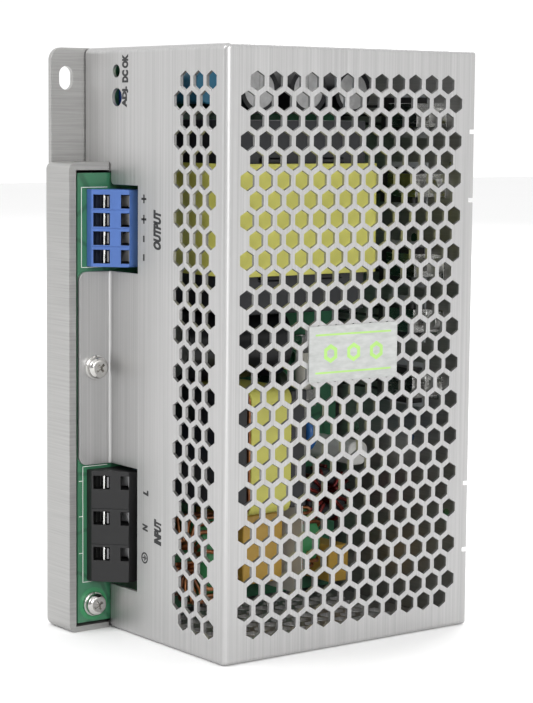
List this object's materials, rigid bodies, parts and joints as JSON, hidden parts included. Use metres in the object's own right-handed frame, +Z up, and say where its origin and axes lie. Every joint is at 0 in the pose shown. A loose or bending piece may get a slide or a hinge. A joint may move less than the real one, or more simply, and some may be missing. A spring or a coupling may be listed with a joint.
{
  "type": "din rail power supply",
  "caption": "Book-shaped DIN rail power supply in a folded, perforated aluminium case with push-in cage clamp terminals, a voltage trimmer, a status lamp and a sprung rail latch.",
  "frame": {"origin": "middle of the footprint at the bottom of the case", "axes": "+Z up along the case's long side, +Y from the terminals to the DIN rail, +X from the base plate to the cover's big side"},
  "size_m": [0.0704, 0.1034, 0.164],
  "materials": {
    "chassis_aluminium": "brushed along the tray, satin",
    "cover_aluminium": "brushed upright, satin",
    "badge_silver": "pale matt label plate",
    "liner_film": "thin black film",
    "board_green": "green solder mask",
    "plated_steel": "bright plated",
    "block_blue": "moulded",
    "block_black": "moulded",
    "contact_tin": "tinned",
    "lamp_green": "diffused lens",
    "trimmer_blue": "moulded",
    "rotor_white": "moulded",
    "ferrite": "ground ferrite",
    "bobbin_plastic": "moulded black",
    "enamelled_copper": "enamelled wire",
    "tape_yellow": "polyester tape",
    "can_aluminium": "drawn can",
    "sleeve_black": "shrunk sleeve",
    "pad_grey": "soft pad",
    "spring_steel": "spring strip",
    "latch_plastic": "moulded",
    "core_green": "epoxy coat",
    "enamel_red": "enamelled wire",
    "box_amber": "moulded box",
    "disc_blue": "epoxy dip",
    "disc_dark": "epoxy dip",
    "fuse_ceramic": "ceramic tube",
    "relay_grey": "moulded",
    "barrier_grey": "insulating card",
    "glue_white": "silicone"
  },
  "bodies": {
    "case": {"badge_plate": "badge_silver", "barrier_sheet": "barrier_grey", "board_posts": "plated_steel", "board_screws": "plated_steel", "boost_choke_coil": "enamelled_copper", "boost_choke_core": "ferrite", "boost_choke_tape": "tape_yellow", "bulk_capacitor_can": "can_aluminium", "bulk_capacitor_sleeve": "sleeve_black", "case_screws": "plated_steel", "chassis": "chassis_aluminium", "circuit_board": "board_green", "clip_screws": "plated_steel", "control_card": "board_green", "control_chips": "bobbin_plastic", "cover": "cover_aluminium", "device_clips": "spring_steel", "fixing_glue": "glue_white", "front_capacitor": "disc_blue", "fuse": "fuse_ceramic", "fuse_clips": "plated_steel", "input_contacts": "contact_tin", "input_terminal_block": "block_black", "inrush_thermistor": "disc_dark", "insulating_liner": "liner_film", "latch_spring": "spring_steel", "line_choke_base": "bobbin_plastic", "line_choke_front_core": "core_green", "line_choke_front_windings": "enamelled_copper", "line_choke_rear_core": "core_green", "line_choke_rear_windings": "enamelled_copper", "lock_washers": "plated_steel", "output_capacitor_cans": "can_aluminium", "output_capacitor_sleeves": "sleeve_black", "output_choke_core": "ferrite", "output_choke_windings": "enamel_red", "output_contacts": "contact_tin", "output_terminal_block": "block_blue", "power_devices": "bobbin_plastic", "rail_bracket": "plated_steel", "relay": "relay_grey", "status_led": "lamp_green", "thermal_pads": "pad_grey", "transformer_bobbin": "bobbin_plastic", "transformer_core": "ferrite", "transformer_tape": "tape_yellow", "transformer_winding": "enamelled_copper", "trimmer_body": "trimmer_blue", "varistor": "disc_blue", "x_capacitors": "box_amber", "y_capacitors": "disc_blue"},
    "rail_latch": {"rail_latch": "latch_plastic"},
    "trimmer_rotor": {"trimmer_rotor": "rotor_white"},
    "output_clamp_1": {"output_clamp_1": "contact_tin"},
    "output_clamp_2": {"output_clamp_2": "contact_tin"},
    "output_clamp_3": {"output_clamp_3": "contact_tin"},
    "output_clamp_4": {"output_clamp_4": "contact_tin"},
    "input_clamp_1": {"input_clamp_1": "contact_tin"},
    "input_clamp_2": {"input_clamp_2": "contact_tin"},
    "input_clamp_3": {"input_clamp_3": "contact_tin"}
  },
  "joints": [
    {"name": "rail_latch_pull", "type": "slide", "parent": "case", "child": "rail_latch", "axis": [0, 0, -1], "range_m": [0, 0.0045], "stiffness_N_per_m": 3000, "deforming": ["latch_spring"]},
    {"name": "trimmer_turn", "type": "hinge", "parent": "case", "child": "trimmer_rotor", "pos_m": [-0.017, -0.0344, 0.1502], "axis": [0, 1, 0], "range_deg": [-135, 135]},
    {"name": "output_clamp_1_press", "type": "slide", "parent": "case", "child": "output_clamp_1", "axis": [-0.7071, 0.7071, 0], "range_m": [0, 0.0015], "stiffness_N_per_m": 2000},
    {"name": "output_clamp_2_press", "type": "slide", "parent": "case", "child": "output_clamp_2", "axis": [-0.7071, 0.7071, 0], "range_m": [0, 0.0015], "stiffness_N_per_m": 2000},
    {"name": "output_clamp_3_press", "type": "slide", "parent": "case", "child": "output_clamp_3", "axis": [-0.7071, 0.7071, 0], "range_m": [0, 0.0015], "stiffness_N_per_m": 2000},
    {"name": "output_clamp_4_press", "type": "slide", "parent": "case", "child": "output_clamp_4", "axis": [-0.7071, 0.7071, 0], "range_m": [0, 0.0015], "stiffness_N_per_m": 2000},
    {"name": "input_clamp_1_press", "type": "slide", "parent": "case", "child": "input_clamp_1", "axis": [-0.7071, 0.7071, 0], "range_m": [0, 0.0015], "stiffness_N_per_m": 2000},
    {"name": "input_clamp_2_press", "type": "slide", "parent": "case", "child": "input_clamp_2", "axis": [-0.7071, 0.7071, 0], "range_m": [0, 0.0015], "stiffness_N_per_m": 2000},
    {"name": "input_clamp_3_press", "type": "slide", "parent": "case", "child": "input_clamp_3", "axis": [-0.7071, 0.7071, 0], "range_m": [0, 0.0015], "stiffness_N_per_m": 2000}
  ]
}
